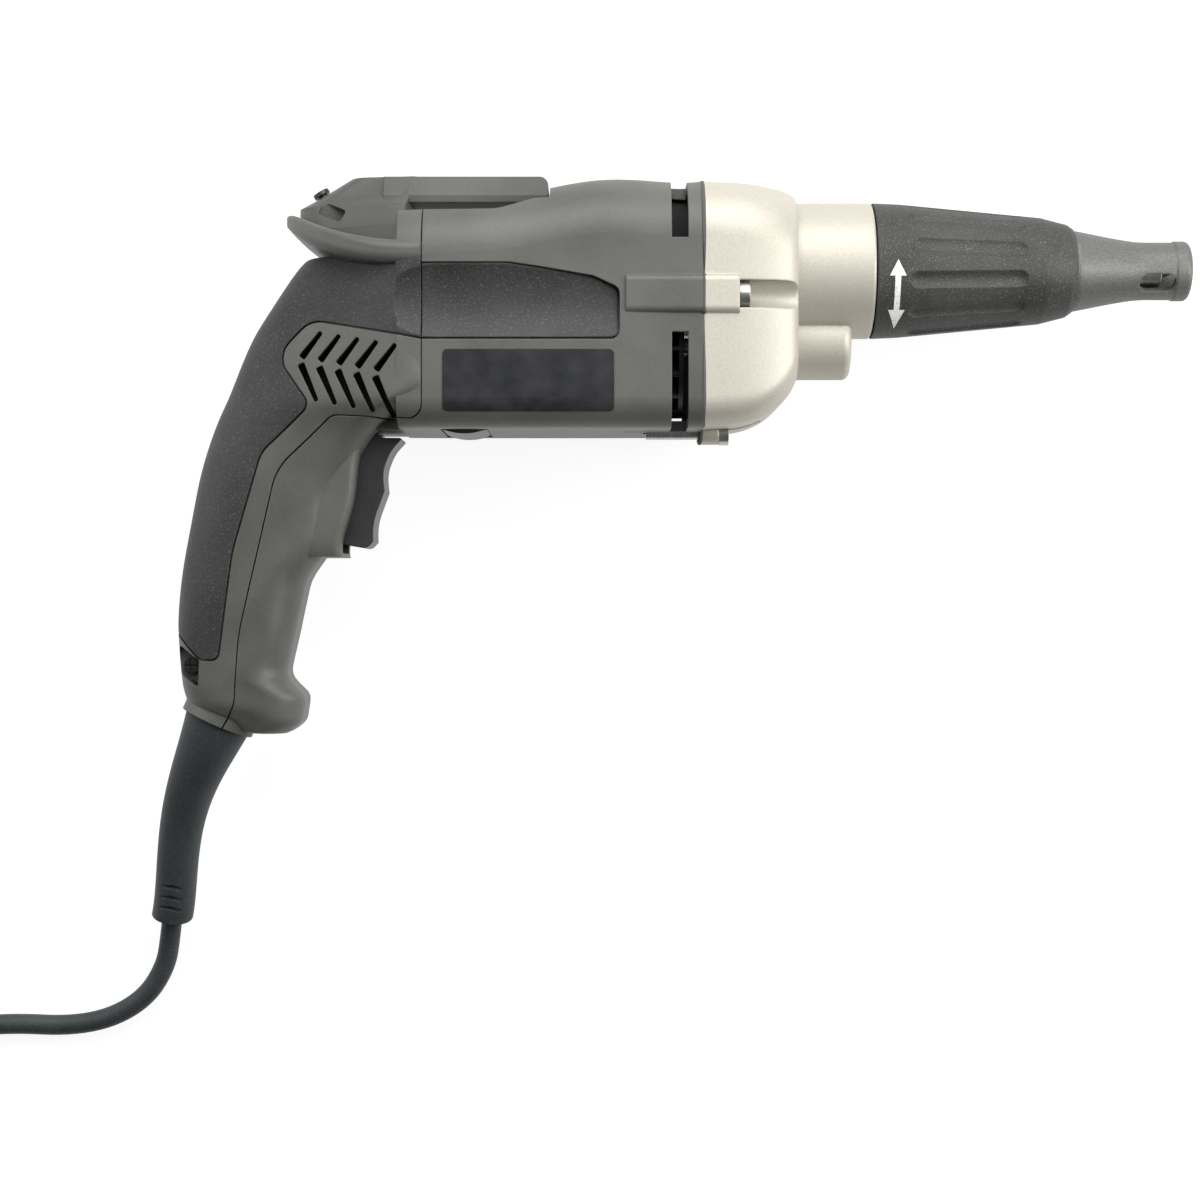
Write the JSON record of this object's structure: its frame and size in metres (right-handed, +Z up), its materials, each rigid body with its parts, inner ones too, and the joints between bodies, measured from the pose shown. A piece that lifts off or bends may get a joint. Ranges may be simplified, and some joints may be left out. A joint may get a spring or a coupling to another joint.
{
  "type": "drywall screwdriver",
  "caption": "Corded pistol-grip drywall screwdriver lying on its side, with a turning depth sleeve, trigger, reversing bar, belt hook and coiled lead.",
  "frame": {"origin": "on the surface the tool lies on, below the middle of its box without the cord", "axes": "+X along the spindle towards the nose, +Y from the handle's foot to the barrel's top, +Z up from the surface"},
  "size_m": [0.5579, 0.2912, 0.068],
  "materials": {
    "housing_nylon": "fine moulded texture",
    "hook_nylon": "fine moulded texture",
    "grip_rubber": "soft, finely speckled",
    "cast_aluminium": "blasted",
    "zinc_steel": "zinc plated",
    "cord_rubber": "matt",
    "tie_plastic": "matt",
    "plug_rubber": "matt",
    "plated_brass": "nickel plated",
    "lamination_steel": "stacked sheet",
    "copper_winding": "lacquered wire",
    "copper_bars": "turned",
    "carbon": "pressed carbon",
    "spring_steel": "drawn wire",
    "bearing_steel": "ground",
    "gear_steel": "hardened",
    "tool_steel": "phosphated",
    "black_nylon": "moulded",
    "sintered_bronze": "sintered",
    "seal_rubber": "matt",
    "sleeve_rubber": "soft, finely speckled",
    "nose_nylon": "smooth",
    "trigger_nylon": "smooth"
  },
  "bodies": {
    "tool": {"motor_housing": "housing_nylon", "handle_cover": "housing_nylon", "rear_grip": "grip_rubber", "side_grips": "grip_rubber", "gear_case": "cast_aluminium", "gear_case_screws": "zinc_steel", "belt_hook": "hook_nylon", "hook_screw": "zinc_steel", "cover_screw": "zinc_steel", "air_guide": "black_nylon", "strain_relief": "cord_rubber", "power_cord": "cord_rubber", "cord_coil": "cord_rubber", "cord_tie": "tie_plastic", "plug_body": "plug_rubber", "plug_blades": "plated_brass", "cord_lead": "cord_rubber", "field_stack": "lamination_steel", "field_coils": "copper_winding", "brush_holders": "plated_brass", "carbon_brushes": "carbon", "brush_springs": "spring_steel", "front_bearing": "bearing_steel", "rear_bearing": "bearing_steel", "fan_baffle": "black_nylon", "bearing_plate": "cast_aluminium", "plate_bush": "sintered_bronze", "spindle_bush": "sintered_bronze", "spindle_seal": "seal_rubber", "pinion_bush": "sintered_bronze", "sleeve_ring": "spring_steel", "switch_body": "black_nylon", "trigger_spring": "spring_steel", "cord_clamp": "black_nylon", "clamp_screws": "zinc_steel"},
    "armature": {"armature_shaft": "bearing_steel", "armature_core": "lamination_steel", "armature_windings": "copper_winding", "commutator": "copper_bars", "cooling_fan": "black_nylon"},
    "gear": {"drive_gear": "gear_steel", "clutch_spring": "spring_steel"},
    "push_carrier": {"thrust_washer": "bearing_steel"},
    "spindle": {"spindle": "gear_steel", "bit_holder": "zinc_steel", "screw_bit": "tool_steel"},
    "sleeve": {"depth_sleeve": "sleeve_rubber"},
    "nose": {"nosepiece": "nose_nylon"},
    "trigger": {"trigger": "trigger_nylon"},
    "lock_button": {"lock_button": "trigger_nylon"},
    "reversing_bar": {"reversing_bar": "trigger_nylon"}
  },
  "joints": [
    {"name": "armature_spin", "type": "hinge", "parent": "tool", "child": "armature", "pos_m": [-0.03435, 0.03853, 0.034], "axis": [1, 0, 0], "continuous": true},
    {"name": "drive_gear_spin", "type": "hinge", "parent": "tool", "child": "gear", "pos_m": [0.01965, 0.06252, 0.034], "axis": [1, 0, 0], "continuous": true},
    {"name": "bit_push", "type": "slide", "parent": "tool", "child": "push_carrier", "axis": [-1, 0, 0], "range_m": [0, 0.0028], "stiffness_N_per_m": 2500, "springref_m": -0.002, "deforming": ["clutch_spring"]},
    {"name": "spindle_spin", "type": "hinge", "parent": "push_carrier", "child": "spindle", "pos_m": [0.04565, 0.06252, 0.034], "axis": [1, 0, 0], "continuous": true},
    {"name": "depth_sleeve_turn", "type": "hinge", "parent": "tool", "child": "sleeve", "pos_m": [0.09565, 0.06252, 0.034], "axis": [1, 0, 0], "range_deg": [-720, 180]},
    {"name": "nose_advance", "type": "slide", "parent": "tool", "child": "nose", "axis": [1, 0, 0], "range_m": [-0.008, 0.002]},
    {"name": "trigger_pull", "type": "slide", "parent": "tool", "child": "trigger", "axis": [-0.9836, 0.1805, 0], "range_m": [0, 0.0065], "stiffness_N_per_m": 700, "springref_m": -0.003, "deforming": ["trigger_spring"]},
    {"name": "lock_button_press", "type": "slide", "parent": "tool", "child": "lock_button", "axis": [0, 0, 1], "range_m": [0, 0.002], "stiffness_N_per_m": 500, "springref_m": -0.002},
    {"name": "reversing_bar_slide", "type": "slide", "parent": "tool", "child": "reversing_bar", "axis": [0, 0, 1], "range_m": [-0.003, 0.003]}
  ],
  "couplings": [
    {"joint": "drive_gear_spin", "follows": "armature_spin", "ratio": -0.14286},
    {"joint": "spindle_spin", "follows": "armature_spin", "ratio": -0.14286},
    {"joint": "nose_advance", "follows": "depth_sleeve_turn", "m_per_rad": 0.00063662}
  ]
}
